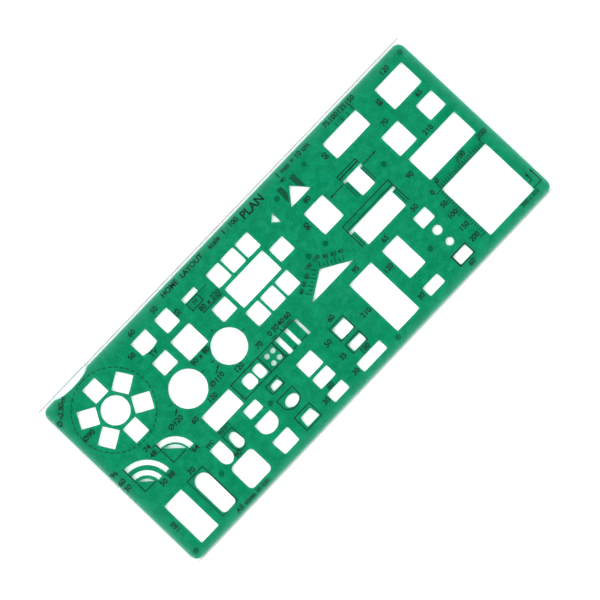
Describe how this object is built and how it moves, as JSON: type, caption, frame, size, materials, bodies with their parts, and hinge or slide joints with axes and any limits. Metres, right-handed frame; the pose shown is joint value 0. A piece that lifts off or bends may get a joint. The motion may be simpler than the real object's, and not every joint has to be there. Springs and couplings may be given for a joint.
{
  "type": "furniture drawing template in a clear sleeve",
  "caption": "Thin green see-through drawing template with furniture-shaped cut-outs, circles and printed size guides, in a clear sleeve that it slides out of.",
  "frame": {"origin": "centre of the underside of the sleeve's back film", "axes": "+X along the length to the sleeve's open mouth, +Y across to the title edge, +Z out of the printed face"},
  "size_m": [0.1704, 0.072, 0.0017],
  "materials": {
    "green_plastic": "see-through green acrylic, lightly polished, about one millimetre thick",
    "print_ink": "thin dark ink screen-printed on the top face",
    "clear_film": "thin clear soft vinyl film",
    "welded_film": "clear vinyl film, heat-welded to a thin border"
  },
  "bodies": {
    "sleeve": {"sleeve_back_film": "clear_film", "sleeve_front_film": "clear_film", "sleeve_upper_seam": "welded_film", "sleeve_lower_seam": "welded_film", "sleeve_end_seam": "welded_film"},
    "template": {"template_plate": "green_plastic", "print_round_table_circle": "print_ink", "print_circle_centre_marks": "print_ink", "print_corner_unit_guides": "print_ink", "print_bathroom_outlines": "print_ink", "print_kitchen_outline": "print_ink", "print_appliance_outlines": "print_ink", "print_sofa_outline": "print_ink", "print_armchair_outline": "print_ink", "print_bed_rulers": "print_ink", "print_wardrobe_width_marks": "print_ink", "print_roof_pitch_marks": "print_ink", "print_gable_hatch": "print_ink", "print_dimension_arrows": "print_ink"}
  },
  "joints": [
    {"name": "template_slide", "type": "slide", "parent": "sleeve", "child": "template", "axis": [1, 0, 0], "range_m": [0, 0.169]}
  ]
}
